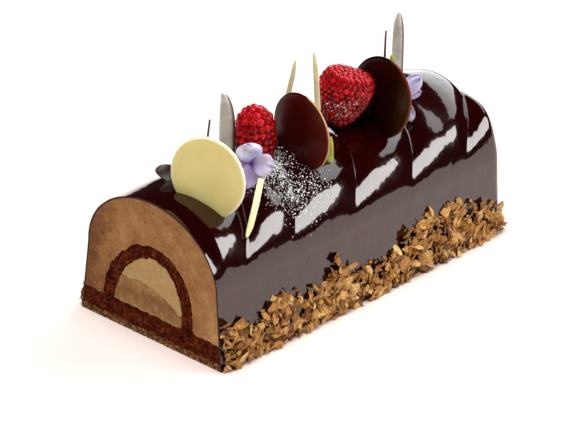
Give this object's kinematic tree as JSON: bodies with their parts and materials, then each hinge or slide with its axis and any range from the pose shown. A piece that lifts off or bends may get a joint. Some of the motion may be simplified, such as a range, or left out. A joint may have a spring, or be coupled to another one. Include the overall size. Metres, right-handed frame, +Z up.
{
  "type": "yule log cake",
  "caption": "Glazed chocolate yule log, cut at one end to show its layers, with moulded pillows, a crushed wafer border, and berries, petals and chocolate pieces on top.",
  "frame": {"origin": "middle of the whole cake's bottom, on the surface it stands on", "axes": "+X along the log from its cut face to its far end, +Y towards its back side, +Z up"},
  "size_m": [0.1942, 0.0954, 0.1134],
  "materials": {
    "crunch": "rough golden-brown biscuit crunch",
    "sponge": "dark chocolate sponge with fine pores",
    "mousse": "matt chocolate mousse with fine pores",
    "cream_upper": "matt tan cream",
    "cream_lower": "matt tan cream, a little darker",
    "glaze": "mirror-bright dark chocolate glaze",
    "wafer": "crushed golden wafer flakes",
    "white_chocolate": "pale yellow white chocolate, satin",
    "dark_chocolate": "dark chocolate, glossy",
    "chocolate_leaf": "grey-brown chocolate, glossy",
    "raspberry": "moist red fruit",
    "leaf": "fresh green leaf",
    "petal": "thin lilac petal"
  },
  "bodies": {
    "root": {"crunch_base": "crunch", "sponge_base": "sponge", "mousse": "mousse", "sponge_arch": "sponge", "cream_upper": "cream_upper", "cream_lower": "cream_lower", "glaze": "glaze", "disc_white": "white_chocolate", "disc_dark_1": "dark_chocolate", "disc_dark_2": "dark_chocolate", "raspberry_1": "raspberry", "raspberry_2": "raspberry", "stick_1": "white_chocolate", "stick_2": "white_chocolate", "stick_3": "white_chocolate", "twig_1": "dark_chocolate", "twig_2": "dark_chocolate", "blade_1": "chocolate_leaf", "blade_2": "chocolate_leaf", "curl": "chocolate_leaf", "leaf_green_1": "leaf", "leaf_green_2": "leaf", "flower_1": "petal", "flower_2": "petal"}
  },
  "joints": []
}
